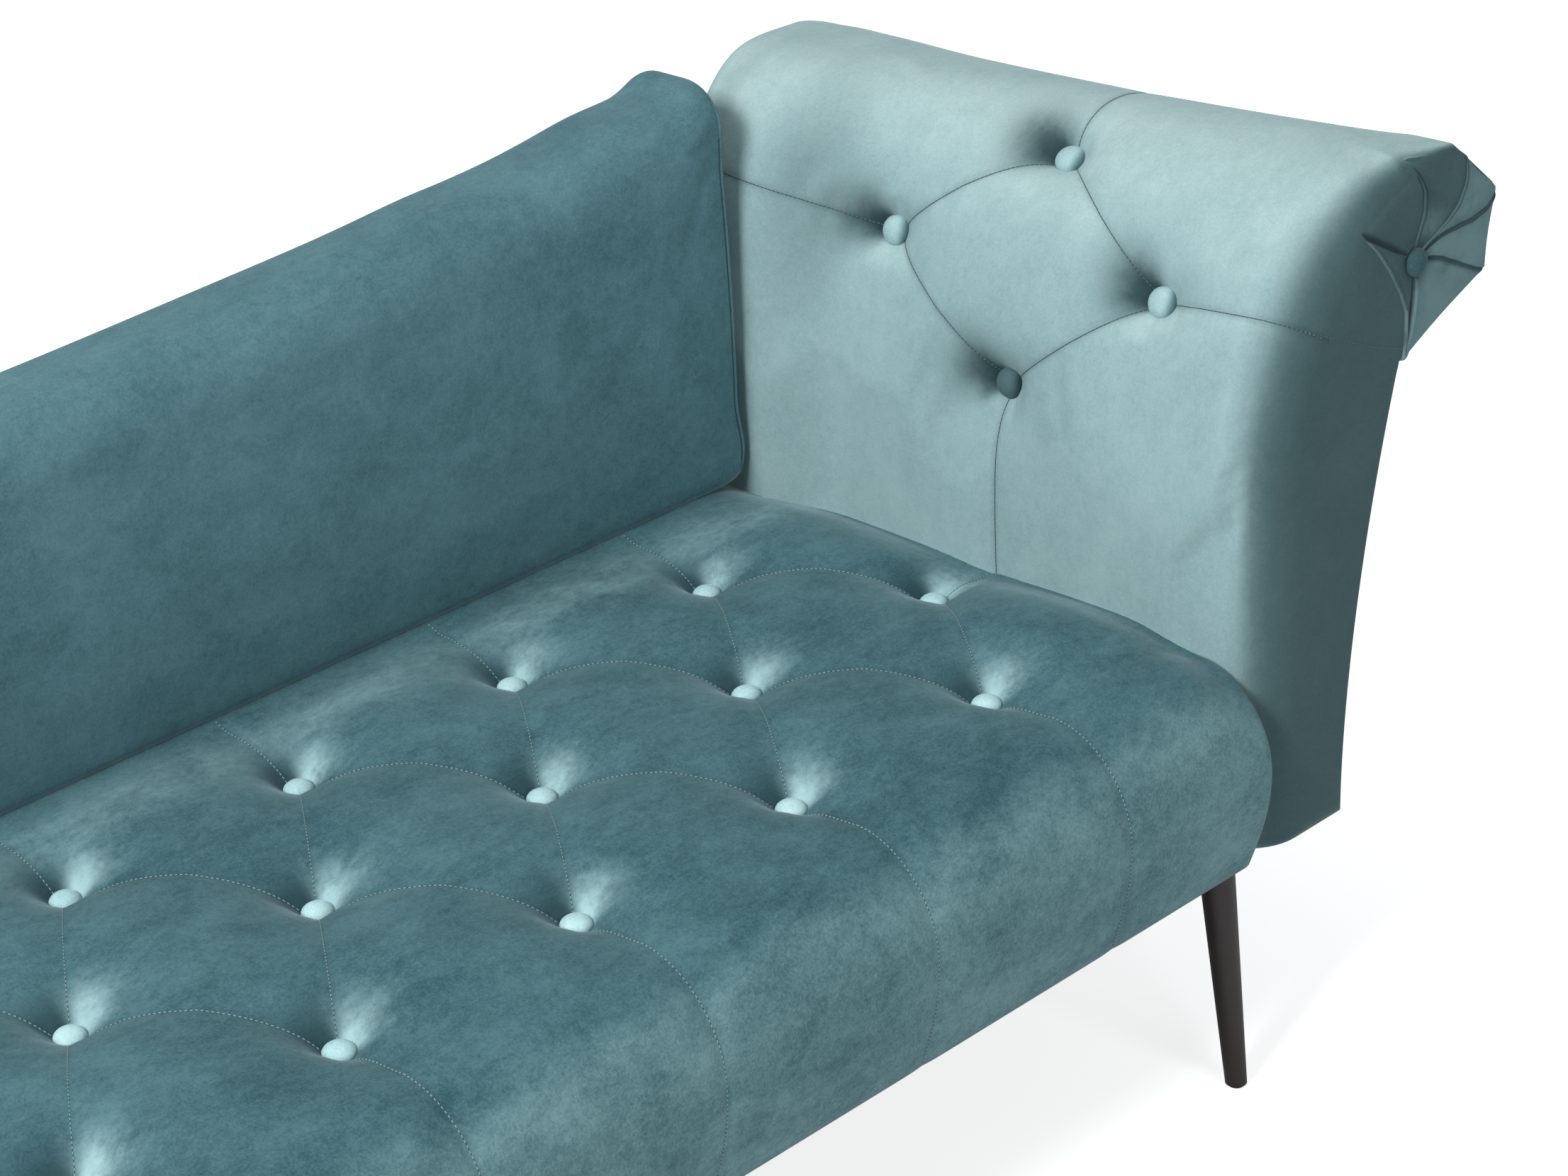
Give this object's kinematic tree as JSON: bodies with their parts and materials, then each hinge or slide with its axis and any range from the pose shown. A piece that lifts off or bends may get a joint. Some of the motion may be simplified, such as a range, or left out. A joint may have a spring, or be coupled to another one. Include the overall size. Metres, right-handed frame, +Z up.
{
  "type": "fainting couch",
  "caption": "One-armed fainting couch with a deep-buttoned seat, a rolled arm with pleated scroll ends, a sloping back along one side and splayed tapered legs.",
  "frame": {"origin": "on the floor under the middle of the couch's overall box", "axes": "+X from the foot end to the rolled arm, +Y from the open front to the side with the back, +Z up"},
  "size_m": [1.6398, 0.725, 0.8501],
  "materials": {
    "velvet": "matte",
    "timber": "satin",
    "board": "matte",
    "webbing": "matte",
    "hessian": "matte",
    "foam": "matte",
    "dust_cloth": "matte",
    "leg_finish": "satin",
    "steel": "satin",
    "glide": "matte"
  },
  "bodies": {
    "root": {"seat_cover": "velvet", "seat_buttons": "velvet", "arm_cover": "velvet", "arm_outer_panel": "velvet", "scroll_fan_front": "velvet", "scroll_fan_rear": "velvet", "arm_buttons": "velvet", "scroll_buttons": "velvet", "back_cover": "velvet", "back_rear_panel": "velvet", "front_rail": "timber", "rear_rail": "timber", "head_rail": "timber", "foot_rail": "timber", "centre_rails": "timber", "corner_blocks": "timber", "arm_rib_front": "timber", "arm_rib_middle": "timber", "arm_rib_rear": "timber", "arm_lower_rail": "timber", "arm_battens": "timber", "back_post_right": "timber", "back_post_middle": "timber", "back_post_left": "timber", "back_top_rail": "timber", "back_bottom_rail": "timber", "arm_liner": "board", "back_liner": "board", "cross_webbing": "webbing", "long_webbing": "webbing", "hessian_sheet": "hessian", "seat_foam": "foam", "arm_foam": "foam", "back_foam": "foam", "dust_cover": "dust_cloth", "arm_dust_cover": "dust_cloth", "leg_front_right": "leg_finish", "leg_front_left": "leg_finish", "leg_rear_right": "leg_finish", "leg_rear_left": "leg_finish", "leg_inserts": "steel", "leg_bolts": "steel", "arm_bolts": "steel", "arm_bolt_nuts": "steel", "back_bolts": "steel", "back_bolt_nuts": "steel", "leg_glides": "glide"}
  },
  "joints": []
}
